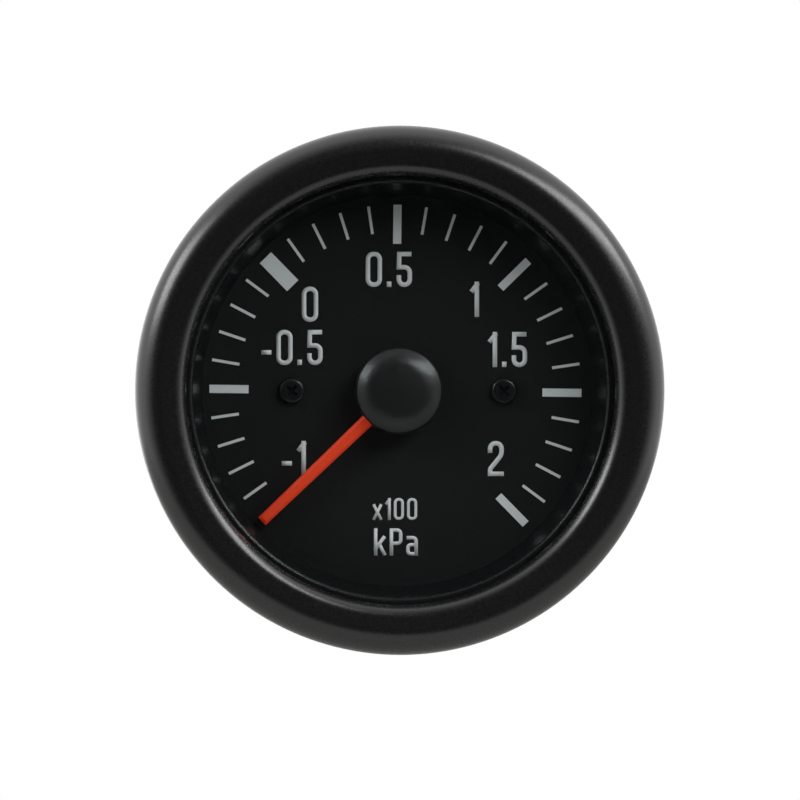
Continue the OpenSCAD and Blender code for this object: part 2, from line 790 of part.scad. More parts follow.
// Lamp holder: twist-in barrel with a ribbed grip behind the case
module lamp_holder() color(black) placed() translate([0, lamp_y]) difference() {
    union() {
        bar_z(lamp_r, rear, rear + lamp_depth);
        bar_z(lamp_flange_r, rear - lamp_flange_t, rear);
        bar_z(lamp_neck_r, lamp_back, rear);
        linear_extrude_between(rear_in, rear_in + lamp_lug_t)
            strip([0, -lamp_r - lamp_lug_over], [0, lamp_r + lamp_lug_over], lamp_lug_w);
        for (i = [0:lamp_grips - 1]) rotate(full_turn * i / lamp_grips)
            translate([lamp_neck_r, 0]) bar_z(lamp_grip_r, lamp_back, rear - lamp_flange_t);
    }
    bar_z(lamp_pocket_r, rear + lamp_depth - lamp_pocket_l, rear + lamp_depth + over);
    for (s = [-1, 1]) translate([0, s * blade_gap / 2, lamp_back - over])
        translate([-blade_w / 2 - slip_gap, -blade_t / 2 - slip_gap, 0])
            cube([blade_w + 2 * slip_gap, blade_t + 2 * slip_gap, blade_in + over]);
}

// Bulb: a glass dome on a flat base that stands in the holder's pocket
module lamp_bulb() color("#e9e2c8", 0.6) placed() translate([0, lamp_y]) {
    translate([-bulb_base_w / 2, -bulb_base_t / 2, bulb_foot])
        cube([bulb_base_w, bulb_base_t, bulb_base_l]);
    bar_z(bulb_r, bulb_foot + bulb_base_l, bulb_foot + bulb_l);
    translate([0, 0, bulb_foot + bulb_l]) sphere(r = bulb_r);
}

// Blade terminals of the lamp holder
module lamp_terminals() color(steel) placed() translate([0, lamp_y]) for (s = [-1, 1])
    translate([0, s * blade_gap / 2 + blade_t / 2, lamp_back]) rotate([90, 0, 0])
        linear_extrude(blade_t) difference() {
            polygon([[-blade_w / 2, blade_in - slip_gap], [blade_w / 2, blade_in - slip_gap],
                [blade_w / 2, blade_tip - blade_l], [blade_w / 2 - blade_tip, -blade_l],
                [blade_tip - blade_w / 2, -blade_l], [-blade_w / 2, blade_tip - blade_l]]);
            translate([0, -blade_l / 2]) circle(r = blade_hole_r);
        }

bezel();
lens();
gasket();
spacer_ring();
case();
dial();
scale_marks();
dial_screws();
pointer_blade();
pointer_cap();
pointer_bush();
pinion_arbor();
sector_gear();
sector_arbor();
tail_pin();
link();
tip_plug();
tip_pin();
bourdon_tube();
hairspring();
hair_collet();
hair_stud();
front_plate();
rear_plate();
plate_pillars();
dial_posts();
plate_screws();
block_screws();
socket_block();
socket_washer();
socket_nut();
hose_nipple();
mounting_studs();
lamp_holder();
lamp_bulb();
lamp_terminals();
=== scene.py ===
import math

import bmesh
import bpy
from mathutils import Matrix, Vector


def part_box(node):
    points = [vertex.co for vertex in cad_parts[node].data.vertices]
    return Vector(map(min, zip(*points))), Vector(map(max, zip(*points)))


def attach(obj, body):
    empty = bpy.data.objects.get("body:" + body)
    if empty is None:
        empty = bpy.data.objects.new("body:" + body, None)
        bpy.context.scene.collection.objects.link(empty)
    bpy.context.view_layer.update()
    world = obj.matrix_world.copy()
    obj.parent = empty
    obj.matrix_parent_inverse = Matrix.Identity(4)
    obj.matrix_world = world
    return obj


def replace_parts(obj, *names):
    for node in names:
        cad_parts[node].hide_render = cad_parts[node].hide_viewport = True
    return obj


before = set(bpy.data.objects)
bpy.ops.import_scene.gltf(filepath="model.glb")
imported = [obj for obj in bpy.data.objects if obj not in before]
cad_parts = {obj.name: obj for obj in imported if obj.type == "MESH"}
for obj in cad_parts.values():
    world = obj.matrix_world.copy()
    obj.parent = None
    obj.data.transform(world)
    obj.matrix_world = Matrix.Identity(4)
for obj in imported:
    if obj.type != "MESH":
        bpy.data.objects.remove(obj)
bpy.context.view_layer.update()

# Bezel. One ring of black painted steel, spun to shape and rolled in behind the case's flange.
# Its outer edge is rounded, its face falls slightly towards the glass, and its inner lip
# is turned down on the glass.
MM = 1000
STAND_UP = Matrix.Rotation(math.radians(90), 4, "X") @ Matrix.Scale(1 / MM, 4)
SPIN_STEPS, EDGE_STEPS = 180, 12
MERGE = 0.0005
SHEET = 0.8
BEZEL_R, BEZEL_H = 30.0, 6.8
ROLL_R, ROLL_ROUND = 27.0, 1.0
EDGE_ROUND = 2.75
FACE_R, FACE_FALL = 25.9, 0.3
LIP_ROUND = 1.6


def filleted(corners, steps=8):
    """The outline through corners of (radius, height, fillet), with each fillet as an arc."""
    points = []
    for i, (r, z, fillet) in enumerate(corners):
        here = Vector((r, z))
        if not fillet or i in (0, len(corners) - 1):
            points.append(here)
            continue
        back = (Vector(corners[i - 1][:2]) - here).normalized()
        ahead = (Vector(corners[i + 1][:2]) - here).normalized()
        half = back.angle(ahead) / 2
        centre = here + (back + ahead).normalized() * fillet / math.sin(half)
        start = here + back * fillet / math.tan(half)
        sweep = (start - centre).angle_signed(here + ahead * fillet / math.tan(half) - centre)
        points += [centre + Matrix.Rotation(-sweep * k / steps, 2) @ (start - centre) for k in range(steps + 1)]
    return points


def spun(points, closed=False, steps=SPIN_STEPS):
    """A bmesh of the outline turned all round the axis."""
    bm = bmesh.new()
    ring = [bm.verts.new((p.x, 0, p.y)) for p in points]
    for a, b in zip(ring, ring[1:] + ring[:1] if closed else ring[1:]):
        bm.edges.new((a, b))
    bmesh.ops.spin(bm, geom=bm.verts[:] + bm.edges[:], cent=(0, 0, 0), axis=(0, 0, 1), dvec=(0, 0, 0),
                   angle=math.tau, steps=steps, use_merge=True, use_duplicate=False)
    bmesh.ops.remove_doubles(bm, verts=bm.verts, dist=MERGE)
    bmesh.ops.recalc_face_normals(bm, faces=bm.faces)
    return bm


def moved(bm, x=0, y=0, z=0):
    bmesh.ops.translate(bm, verts=bm.verts, vec=(x, y, z))
    return bm


def meshed(bm, name):
    """A mesh made from a bmesh, which is used up."""
    mesh = bpy.data.meshes.new(name)
    bm.to_mesh(mesh)
    bm.free()
    return mesh


def linked(name, data):
    """An object that shows the data in the scene."""
    thing = bpy.data.objects.new(name, data)
    bpy.context.scene.collection.objects.link(thing)
    return thing


def evened(piece, sharp=30):
    """Shades a piece so that its wide faces stay flat and its rounded edges smooth."""
    piece.data.set_sharp_from_angle(angle=math.radians(sharp))
    even = piece.modifiers.new("even", "WEIGHTED_NORMAL")
    even.keep_sharp = True


def stood(bm, name, paint, body="case", sharp=30):
    """Stands a bmesh up in the row's frame as an object that rides on a body.

    The bmesh is drawn in millimetres, with z along the axis to the viewer and y to the dial's top.
    """
    bmesh.ops.transform(bm, matrix=STAND_UP, verts=bm.verts)
    for face in bm.faces:
        face.smooth = True
    mesh = meshed(bm, name)
    mesh.materials.append(paint.material)
    piece = linked(name, mesh)
    evened(piece, sharp)
    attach(piece, body)
    return piece


class Value:
    """A shader socket, or what is worked out from several."""

    def __init__(self, nodes, socket):
        self.nodes, self.socket = nodes, socket

    def __mul__(self, other):
        return self.nodes.add("ShaderNodeMath", [self, other], operation="MULTIPLY")

    def __rsub__(self, other):
        return self.nodes.add("ShaderNodeMath", [other, self], operation="SUBTRACT")

    __rmul__ = __mul__


class Nodes:
    """A shader's tree, whose nodes are laid down one by one."""

    def __init__(self, tree):
        self.tree = tree

    def feed(self, node, values):
        for key, value in values.items() if isinstance(values, dict) else enumerate(values):
            if isinstance(value, Value):
                self.tree.links.new(value.socket, node.inputs[key])
            else:
                node.inputs[key].default_value = value

    def add(self, kind, values=(), out=0, **settings):
        node = self.tree.nodes.new(kind)
        for key, value in settings.items():
            setattr(node, key, value)
        self.feed(node, values)
        return Value(self, node.outputs[out])


class Paint(Nodes):
    """A material, and the looks that it is made up of."""

    def __init__(self, name, color, roughness, metallic=0.0, **sockets):
        self.slot = name
        self.material = bpy.data.materials.new(name)
        self.material.use_nodes = True
        super().__init__(self.material.node_tree)
        self.shader = self.tree.nodes["Principled BSDF"]
        self.feed(self.shader, {"Base Color": (*color, 1), "Roughness": roughness, "Metallic": metallic})
        self.feed(self.shader, sockets)
        self.place = self.add("ShaderNodeTexCoord", out="Object")

    def noise(self, size, detail=3.0, stretch=(1, 1, 1)):
        """Noise whose features are about size metres across."""
        at = self.add("ShaderNodeMapping", {"Vector": self.place, "Scale": stretch})
        return self.add("ShaderNodeTexNoise", {"Vector": at, "Scale": 1 / size, "Detail": detail}, out="Fac")

    def spread(self, value, low, high):
        """The value, from its middle range, moved to run from low to high."""
        return self.add("ShaderNodeMapRange", {
            "Value": value, "From Min": 0.3, "From Max": 0.7, "To Min": low, "To Max": high})

    def tint(self, mask, low, high):
        """The base colour, from low to high as the mask rises."""
        mix = self.add("ShaderNodeMix", {0: mask, 6: (*low, 1), 7: (*high, 1)}, out=2, data_type="RGBA")
        self.feed(self.shader, {"Base Color": mix})

    def bump(self, height, depth, strength=1.0):
        values = {"Strength": strength, "Distance": depth, "Height": height}
        self.feed(self.shader, {"Normal": self.add("ShaderNodeBump", values, out="Normal")})


black = Paint("bezel_black", (0.004, 0.004, 0.0043), 0.28, **{"Specular IOR Level": 0.7})
grain = black.noise(0.0003, detail=2.0)
black.tint(black.noise(0.006), (0.0034, 0.0034, 0.0037), (0.0046, 0.0046, 0.005))
black.feed(black.shader, {"Roughness": black.spread(grain, 0.25, 0.32)})
black.bump(grain, 0.000002, 0.5)

lens_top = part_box("lens")[0].y * -MM
bm = spun(filleted([
    (ROLL_R, 0, 0), (BEZEL_R, 0, ROLL_ROUND), (BEZEL_R, BEZEL_H, EDGE_ROUND), (FACE_R, BEZEL_H - FACE_FALL, 0),
    (FACE_R - LIP_ROUND, BEZEL_H - FACE_FALL, LIP_ROUND), (FACE_R - LIP_ROUND, lens_top, 0)], EDGE_STEPS))
bmesh.ops.solidify(bm, geom=bm.faces[:], thickness=SHEET)
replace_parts(stood(bm, "bezel_ring", black), "bezel")

# Lens. A disc of clear flat glass with its edge ground off, held down by the lip on its rubber
# ring.
LENS_R, LENS_EDGE = 28.2, 0.2
GLASS_TINT = (0.96, 0.98, 0.98, 1)
GLASS_GLOSS, GLASS_ROUGHNESS, GLASS_IOR = 0.5, 0.02, 1.45

glass = Paint("lens_glass", GLASS_TINT[:3], GLASS_ROUGHNESS)
clear = glass.add("ShaderNodeBsdfTransparent", {"Color": GLASS_TINT}, out="BSDF")
gloss = glass.add("ShaderNodeBsdfGlossy", {"Roughness": GLASS_ROUGHNESS}, out="BSDF")
inside = glass.add("ShaderNodeNewGeometry", out="Backfacing")
rim = glass.add("ShaderNodeFresnel", {"IOR": GLASS_IOR}) * GLASS_GLOSS * (1 - inside)
shown = glass.add("ShaderNodeMixShader", {0: rim, 1: clear, 2: gloss}, out="Shader")
glass.feed(glass.tree.nodes["Material Output"], {"Surface": shown})

lens_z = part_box("lens")[1].y * -MM
bm = spun(filleted([(0, lens_z, 0), (LENS_R, lens_z, LENS_EDGE), (LENS_R, lens_top, LENS_EDGE),
                    (0, lens_top, 0)], steps=2))
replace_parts(stood(bm, "lens_disc", glass), "lens")

# Rubber ring and spacer ring. The rubber is moulded and hidden behind the lip. The spacer is
# moulded in satin black plastic: its wall leans in from under the glass to the dial, and its
# inner top edge is rounded, which draws a fine bright line inside the lip.
RUBBER_R, RUBBER_ROUND = 26.9, 0.1
SPACER_TOP_R, SPACER_FOOT_R, SPACER_WALL = 23.55, 22.25, 0.8
SPACER_RIM_R, SPACER_ROUND, SPACER_KNEE = 26.6, 0.6, 0.3

rubber = Paint("seal_rubber", (0.02, 0.02, 0.02), 0.75)
rubber.bump(rubber.noise(0.0004), 0.00001)
gasket_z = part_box("gasket")[1].y * -MM
bm = spun(filleted([(r, z, RUBBER_ROUND) for r, z in (
    (RUBBER_R, gasket_z), (LENS_R, gasket_z), (LENS_R, lens_z), (RUBBER_R, lens_z))], steps=2), closed=True)
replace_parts(stood(bm, "rubber_ring", rubber), "gasket")

moulded = Paint("spacer_black", (0.006, 0.006, 0.0065), 0.3, **{"Specular IOR Level": 0.28})
grain = moulded.noise(0.00025)
moulded.feed(moulded.shader, {"Roughness": moulded.spread(grain, 0.26, 0.36)})
moulded.bump(grain, 0.000003, 0.5)

dial_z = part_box("dial")[0].y * -MM
bm = spun(filleted([
    (SPACER_FOOT_R + SPACER_WALL, dial_z, 0), (SPACER_TOP_R + SPACER_WALL, lens_z - SPACER_WALL, SPACER_KNEE),
    (SPACER_RIM_R, lens_z - SPACER_WALL, 0), (SPACER_RIM_R, lens_z, 0),
    (SPACER_TOP_R, lens_z, SPACER_ROUND), (SPACER_FOOT_R, dial_z, 0)]), closed=True)
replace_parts(stood(bm, "spacer_wall", moulded), "spacer_ring")

# Dial. A disc of sheet aluminium under matt black paint, with the scale's bars printed on it
# in light grey. The print sits a little to the left and is turned by half a degree.
DIAL_R, DIAL_T, DIAL_EDGE = 24.9, 0.5, 0.08
PRINT_T = 0.05
SCALE_R, SCALE_ASIDE, SCALE_TURN = 21.2, -0.25, -0.6
SCALE_SWEEP, SCALE_STEPS, STEPS_PER_LARGE, ZERO_STEP = 270, 30, 5, 10
SMALL_L, SMALL_W, LARGE_L, LARGE_W, ZERO_W = 3.15, 0.32, 4.45, 0.93, 1.8

matt = Paint("dial_black", (0.0065, 0.0065, 0.0068), 0.8, **{"Specular IOR Level": 0.2})
grain = matt.noise(0.00012, detail=4.0)
matt.tint(matt.noise(0.009), (0.0055, 0.0055, 0.0058), (0.0075, 0.0075, 0.0078))
matt.feed(matt.shader, {"Roughness": matt.spread(grain, 0.72, 0.88)})
matt.bump(grain, 0.000004, 0.5)
bm = spun(filleted([(0, dial_z - DIAL_T, 0), (DIAL_R, dial_z - DIAL_T, DIAL_EDGE),
                    (DIAL_R, dial_z, DIAL_EDGE), (0, dial_z, 0)], steps=3))
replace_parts(stood(bm, "dial_disc", matt), "dial")

ink = Paint("print_grey", (0.70, 0.70, 0.71), 0.6)
cover = ink.noise(0.0002, detail=4.0)
ink.tint(cover, (0.66, 0.66, 0.665), (0.74, 0.74, 0.745))
ink.bump(cover, 0.000003, 0.5)
bars = bmesh.new()
for i in range(SCALE_STEPS + 1):
    large = i % STEPS_PER_LARGE == 0
    length, width = (LARGE_L, ZERO_W if i == ZERO_STEP else LARGE_W) if large else (SMALL_L, SMALL_W)
    turn = math.radians(90 + SCALE_TURN + SCALE_SWEEP / 2 - SCALE_SWEEP * i / SCALE_STEPS)
    middle = Vector((SCALE_R - length / 2, 0, dial_z + PRINT_T / 2))
    bmesh.ops.create_cube(bars, size=1, matrix=Matrix.Rotation(turn, 4, "Z") @ Matrix.Translation(middle)
                          @ Matrix.Diagonal((length, width, PRINT_T, 1)))
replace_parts(stood(moved(bars, SCALE_ASIDE), "scale_bars", ink), "scale_marks")

# Numbers and unit. Screen-printed in the same ink, in a narrow upright face whose strokes are
# all of one width. Each figure is the run of its stroke in a box one unit wide and one high,
# with its width and its corners' rounding as shares of its height.
PRINT_STEP = 0.008
FIGURE_H, STROKE_SHARE, GAP_SHARE = 4.0, 0.128, 0.138
ROUND = 0.155
GLYPHS = {
    "0": (0.465, [[(0, 0.5, 0), (0, 0, ROUND), (1, 0, ROUND), (1, 1, ROUND), (0, 1, ROUND), (0, 0.5, 0)]]),
    "1": (0.26, [[(1, 0, 0), (1, 1, 0)], [(0.1, 0.80, 0), (1, 0.97, 0)]]),
    "2": (0.455, [[(0, 0.76, 0), (0, 1, ROUND), (1, 1, ROUND), (1, 0.62, 0.30), (0, 0.16, 0.12), (0, 0, 0),
                   (1, 0, 0)]]),
    "5": (0.44, [[(0.94, 1, 0), (0.04, 1, 0), (0, 0.57, 0), (1, 0.57, ROUND), (1, 0, ROUND), (0, 0, ROUND),
                  (0, 0.24, 0)]]),
    ".": (0.140, [[(0, 0, 0), (0, 0.03, 0)]]),
    "-": (0.29, [[(0, 0.34, 0), (1, 0.34, 0)]]),
    "x": (0.42, [[(0, 0.68, 0), (1, 0, 0)], [(0, 0, 0), (1, 0.68, 0)]]),
    "k": (0.44, [[(0, 1, 0), (0, 0, 0)], [(0.95, 0.68, 0), (0, 0.22, 0)], [(0.42, 0.42, 0), (1, 0, 0)]]),
    "P": (0.47, [[(0, 0, 0), (0, 1, 0)], [(0, 1, 0), (1, 1, 0.14), (1, 0.44, 0.14), (0, 0.44, 0)]]),
    "a": (0.43, [[(0.05, 0.68, 0), (1, 0.68, 0.13), (1, 0, 0)],
                 [(1, 0.38, 0), (0, 0.38, 0.11), (0, 0, 0.11), (1, 0, 0)]]),
}
FIGURES = [
    ("0.5", (-3.66, 11.84)), ("0", (-10.94, 7.86)), ("-0.5", (-15.56, 2.93)), ("-1", (-13.22, -9.70)),
    ("1", (8.23, 8.44)), ("1.5", (10.29, 2.72)), ("2", (10.27, -9.70))]
WORDS = [("x100", (-2.85, -14.7), 2.5), ("kPa", (-2.72, -18.75), 3.1)]


def written(text, corner, height, name):
    """The text from its lower left corner, as walls along its strokes, which a modifier then widens."""
    stroke = STROKE_SHARE * height
    rise = height - stroke
    left, low = corner[0] + stroke / 2, corner[1] + stroke / 2
    bm = bmesh.new()
    for letter in text:
        width, runs = GLYPHS[letter]
        reach = width * height - stroke
        for layer, run in enumerate(runs):
            line = filleted([(left + u * reach, low + v * rise, fillet * height) for u, v, fillet in run],
                            steps=6)
            if run[0] != run[-1]:
                line[0] += (line[0] - line[1]).normalized() * stroke / 2
                line[-1] += (line[-1] - line[-2]).normalized() * stroke / 2
            ring = [bm.verts.new((p.x, p.y, dial_z)) for p in line]
            edges = [bm.edges.new(pair) for pair in zip(ring, ring[1:])]
            raised = bmesh.ops.extrude_edge_only(bm, edges=edges)["geom"]
            bmesh.ops.translate(bm, verts=[v for v in raised if isinstance(v, bmesh.types.BMVert)],
                                vec=(0, 0, PRINT_T - layer * PRINT_STEP))
            bmesh.ops.remove_doubles(bm, verts=ring, dist=MERGE)
        left += (width + GAP_SHARE) * height
    bmesh.ops.remove_doubles(bm, verts=bm.verts, dist=MERGE)
    piece = stood(bm, name, ink)
    wide = piece.modifiers.new("stroke", "SOLIDIFY")
    wide.thickness, wide.offset, wide.use_even_offset = stroke / MM, 0, True


for i, (text, corner) in enumerate(FIGURES):
    written(text, corner, FIGURE_H, f"figure_{i}")
for i, (text, corner, height) in enumerate(WORDS):
    written(text, corner, height, f"unit_{i}")

# Dial screws. Two small cross-headed screws of blackened steel, which hold the dial on its
# posts. The head is a low dome, and its cross is cut with a tapered tool.
DIAL_SCREW_X = 12.1
HEAD_R, HEAD_H, HEAD_DOME = 1.5, 0.8, 0.45
CROSS_W, CROSS_L, CROSS_DEPTH = 0.42, 1.9, 0.5
CROSS_TURNS, CROSS_TAPER = (45, 135), (0.6, 0.7, 1)

blued = Paint("screw_black", (0.008, 0.008, 0.009), 0.3, 0.3)
blued.feed(blued.shader, {"Roughness": blued.spread(blued.noise(0.0002), 0.25, 0.4)})


def cut(piece, bm, way="DIFFERENCE"):
    """Cuts a piece with a bmesh in the gauge's own frame, or keeps what the two share."""
    bmesh.ops.transform(bm, matrix=STAND_UP, verts=bm.verts)
    cutter = linked("cutter", meshed(bm, "cutter"))
    piece.modifiers.clear()
    knife = piece.modifiers.new("cut", "BOOLEAN")
    knife.object, knife.operation, knife.solver, knife.use_self = cutter, way, "EXACT", True
    worked = piece.evaluated_get(bpy.context.evaluated_depsgraph_get())
    mesh = bpy.data.meshes.new_from_object(worked)
    piece.modifiers.clear()
    piece.data = mesh
    evened(piece)
    bpy.data.objects.remove(cutter)


for side, x in (("left", -DIAL_SCREW_X), ("right", DIAL_SCREW_X)):
    bm = spun(filleted([(0, dial_z, 0), (HEAD_R, dial_z, 0), (HEAD_R, dial_z + HEAD_H, HEAD_DOME),
                        (0, dial_z + HEAD_H, 0)]), steps=48)
    head = stood(moved(bm, x), f"dial_screw_{side}", blued)
    cross = bmesh.new()
    for turn in CROSS_TURNS:
        bar = bmesh.ops.create_cube(cross, size=1)["verts"]
        bmesh.ops.scale(cross, verts=bar, vec=(CROSS_L, CROSS_W, 2 * CROSS_DEPTH))
        bmesh.ops.scale(cross, verts=[v for v in bar if v.co.z < 0], vec=CROSS_TAPER)
        bmesh.ops.rotate(cross, verts=bar, matrix=Matrix.Rotation(math.radians(turn), 3, "Z"))
        bmesh.ops.translate(cross, verts=bar, vec=(x, 0, dial_z + HEAD_H))
    cut(head, cross)
    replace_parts(head, "dial_screws")

# Pointer. A thin blade pressed from sheet, bevelled along both edges, narrower at its tip and
# painted orange-red, with a faint painted glow added on top: an emission that makes it brighter
# than the lamps alone would. It rests at the lowest mark of the scale.
REST_TURN = 90 + 133.7
BLADE_L, BLADE_ROOT = 21.5, 2.0
BLADE_W, BLADE_TIP_W, BLADE_T = 1.55, 1.2, 0.8
BLADE_BEVEL, BLADE_SOFT = 0.3, 0.05
blade_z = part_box("pointer_blade")[1].y * -MM

# The orange-red emission below is a painted glow that brightens the blade beyond its lighting.
red = Paint("pointer_red", (0.66, 0.048, 0.011), 0.38, **{
    "Coat Weight": 0.3, "Coat Roughness": 0.2,
    "Emission Color": (1.0, 0.035, 0.004, 1), "Emission Strength": 0.16})
mottle = red.noise(0.0008)
red.tint(mottle, (0.61, 0.042, 0.010), (0.71, 0.054, 0.012))
red.feed(red.shader, {"Roughness": red.spread(mottle, 0.34, 0.44)})
red.bump(red.noise(0.0002), 0.000003, 0.5)

bm = bmesh.new()
bmesh.ops.create_cube(bm, size=1)
bmesh.ops.scale(bm, verts=bm.verts, vec=(BLADE_L - BLADE_ROOT, BLADE_W, BLADE_T))
moved(bm, (BLADE_L + BLADE_ROOT) / 2, 0, blade_z + BLADE_T / 2)
tip = [v for v in bm.verts if v.co.x > BLADE_L / 2]
bmesh.ops.scale(bm, verts=tip, vec=(1, BLADE_TIP_W / BLADE_W, 1))
top = [e for e in bm.edges if all(v.co.z > blade_z + BLADE_T / 2 for v in e.verts)]
bmesh.ops.bevel(bm, geom=top, offset=BLADE_BEVEL, segments=1, profile=0.5, material=-1, affect="EDGES")
bmesh.ops.bevel(bm, geom=bm.edges[:], offset=BLADE_SOFT, segments=2, profile=0.5, material=-1, affect="EDGES")
bmesh.ops.rotate(bm, verts=bm.verts, matrix=Matrix.Rotation(math.radians(REST_TURN), 3, "Z"))
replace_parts(stood(bm, "pointer_needle", red, "pointer"), "pointer_blade")

# Cap. A dome of satin black plastic, pressed over the pointer's hub. It has a short upright
# skirt with a small round at its edge, which the blade comes out of.
CAP_R, CAP_SHOULDER, CAP_CROWN, CAP_ROUND = 4.95, 1.15, 2.5, 0.6
CAP_BEND_R, CAP_BEND, CAP_BEND_ROUND = 3.5, 2.1, 3.6
CAP_FOOT, CAP_FOOT_ROUND = 0.5, 0.2
cap_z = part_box("pointer_cap")[1].y * -MM

shiny = Paint("cap_black", (0.010, 0.010, 0.0105), 0.32)
soft_gloss = shiny.noise(0.0012)
shiny.feed(shiny.shader, {"Roughness": shiny.spread(soft_gloss, 0.28, 0.36)})
shiny.bump(shiny.noise(0.0004), 0.000002, 0.4)

bm = spun(filleted([(CAP_R - CAP_FOOT, cap_z, 0), (CAP_R, cap_z, CAP_FOOT_ROUND),
                    (CAP_R, CAP_SHOULDER, CAP_ROUND), (CAP_BEND_R, CAP_BEND, CAP_BEND_ROUND),
                    (0, CAP_CROWN, 0)]), steps=120)
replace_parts(stood(bm, "pointer_dome", shiny, "pointer", sharp=50), "pointer_cap")

# Movement. Plates, posts, sector and block are sheet and bar brass, the arbors, pins, link and
# screws are steel, the tube is bronze and the hairspring is blued strip. They are the frame's
# own pieces, closed in behind the dial.
DULL_SHARE = 0.86


def metal(name, color, roughness, grain_size, stretch=(1, 1, 1), spread=0.1):
    """Bare metal with fine tool marks along one way, and duller in places."""
    paint = Paint(name, color, roughness, 1.0)
    marks = paint.noise(grain_size, stretch=stretch)
    paint.tint(paint.noise(0.004), [c * DULL_SHARE for c in color], color)
    paint.feed(paint.shader, {"Roughness": paint.spread(marks, roughness - spread / 2, roughness + spread / 2)})
    paint.bump(marks, 0.000003, 0.4)
    return paint


brass = metal("brass", (0.62, 0.43, 0.16), 0.32, 0.0003, (1, 6, 1))
bronze = metal("tube_bronze", (0.58, 0.36, 0.15), 0.36, 0.0004)
steel = metal("steel", (0.50, 0.51, 0.52), 0.30, 0.0002, (1, 8, 1))
blue = metal("spring_blue", (0.10, 0.16, 0.30), 0.28, 0.0002)
for paint, names in (
        (brass, "pointer_bush sector_gear tip_plug hair_collet hair_stud"),
        (brass, "front_plate rear_plate plate_pillars dial_posts"),
        (steel, "pinion_arbor sector_arbor tail_pin link tip_pin plate_screws block_screws"),
        (bronze, "bourdon_tube"), (blue, "hairspring")):
    for name in names.split():
        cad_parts[name].material_slots[0].material = paint.material

# Case. A cup drawn from sheet steel and zinc-plated, with a flange at its mouth that the bezel
# is rolled round, and with holes pierced in its rear wall for socket, studs and lamp.
CASE_R, CASE_ROUND, CASE_BACK = 26.0, 3.0, -32.0
FLANGE_R, FLANGE_Z = 28.7, 0.8
SOCKET_HOLE_R, STUD_HOLE_R, LAMP_HOLE_R = 5.1, 2.42, 5.5
STUD_X, LAMP_Y = 16.0, 15.5

zinc = metal("case_zinc", (0.52, 0.54, 0.55), 0.38, 0.0003, (1, 0.3, 1), 0.05)
bm = spun(filleted([(0, CASE_BACK, 0), (CASE_R, CASE_BACK, CASE_ROUND), (CASE_R, FLANGE_Z, SHEET),
                    (FLANGE_R, FLANGE_Z, 0)]), steps=144)
bmesh.ops.solidify(bm, geom=bm.faces[:], thickness=SHEET)
cup = stood(bm, "case_cup", zinc)
holes = bmesh.new()
for radius, x, y in (
        (SOCKET_HOLE_R, 0, 0), (STUD_HOLE_R, -STUD_X, 0), (STUD_HOLE_R, STUD_X, 0), (LAMP_HOLE_R, 0, LAMP_Y)):
    bmesh.ops.create_cone(holes, cap_ends=True, segments=64, radius1=radius, radius2=radius, depth=4 * SHEET,
                          matrix=Matrix.Translation((x, y, CASE_BACK)))
cut(cup, holes)
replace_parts(cup, "case")

# Mounting studs. Two M4 studs of zinc-plated steel, clinched in the rear wall by a shoulder,
# with rolled threads and chamfered ends.
STUD_R, STUD_END, STUD_TIP = 2.0, -46.0, 0.5
STUD_HEAD_R, STUD_HEAD_H, STUD_HEAD_ROUND, STUD_NECK_R = 3.5, 1.0, 0.2, 2.4
STUD_PITCH, STUD_THREAD = 0.7, 0.36
THREAD_FORM = ((1, 0), (0, 0.4), (0, 0.52), (1, 0.92), (1, 1))
THREAD_MERGE = 0.001


def threaded(radius, depth, pitch, top, end, tip, steps=32):
    """A bmesh of a rod with a right-hand thread, from top down to a chamfered end."""
    turns = math.ceil((top - end) / pitch) + 2
    bm = bmesh.new()
    flank = [bm.verts.new((radius - depth * low, 0, end + (rise - 1) * pitch))
             for low, rise in THREAD_FORM]
    for pair in zip(flank, flank[1:]):
        bm.edges.new(pair)
    bmesh.ops.spin(bm, geom=bm.verts[:] + bm.edges[:], cent=(0, 0, 0), axis=(0, 0, 1),
                   dvec=(0, 0, pitch / steps), angle=math.tau * turns, steps=steps * turns, use_merge=False,
                   use_duplicate=False)
    bmesh.ops.remove_doubles(bm, verts=bm.verts, dist=THREAD_MERGE)
    for height, way in ((top, 1), (end, -1)):
        bmesh.ops.bisect_plane(bm, geom=bm.verts[:] + bm.edges[:] + bm.faces[:],
                               plane_co=(0, 0, height), plane_no=(0, 0, way), clear_outer=True)
        bmesh.ops.holes_fill(bm, edges=[e for e in bm.edges if e.is_boundary and
                                        all(abs(v.co.z - height) < THREAD_MERGE for v in e.verts)])
    for v in bm.verts:
        reach = radius - max(0, end + tip - v.co.z)
        if v.co.xy.length > reach:
            v.co.xy *= reach / v.co.xy.length
    bmesh.ops.recalc_face_normals(bm, faces=bm.faces)
    return bm


stud_zinc = metal("stud_zinc", (0.58, 0.57, 0.50), 0.32, 0.0003)
rear_in, stud_start = CASE_BACK + SHEET, CASE_BACK - 2 * STUD_PITCH
for side, x in (("left", -STUD_X), ("right", STUD_X)):
    bm = spun(filleted([(0, rear_in + STUD_HEAD_H, 0), (STUD_HEAD_R, rear_in + STUD_HEAD_H, STUD_HEAD_ROUND),
                        (STUD_HEAD_R, rear_in, 0), (STUD_NECK_R, rear_in, 0), (STUD_NECK_R, CASE_BACK, 0),
                        (STUD_R, CASE_BACK, 0), (STUD_R, CASE_BACK - STUD_PITCH, 0),
                        (STUD_R - STUD_THREAD, stud_start, 0), (0, stud_start, 0)]), steps=48)
    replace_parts(stood(moved(bm, x), f"stud_neck_{side}", stud_zinc), "mounting_studs")
    bm = threaded(STUD_R, STUD_THREAD, STUD_PITCH, CASE_BACK - STUD_PITCH, STUD_END, STUD_TIP)
    stood(moved(bm, x), f"stud_{side}", stud_zinc)

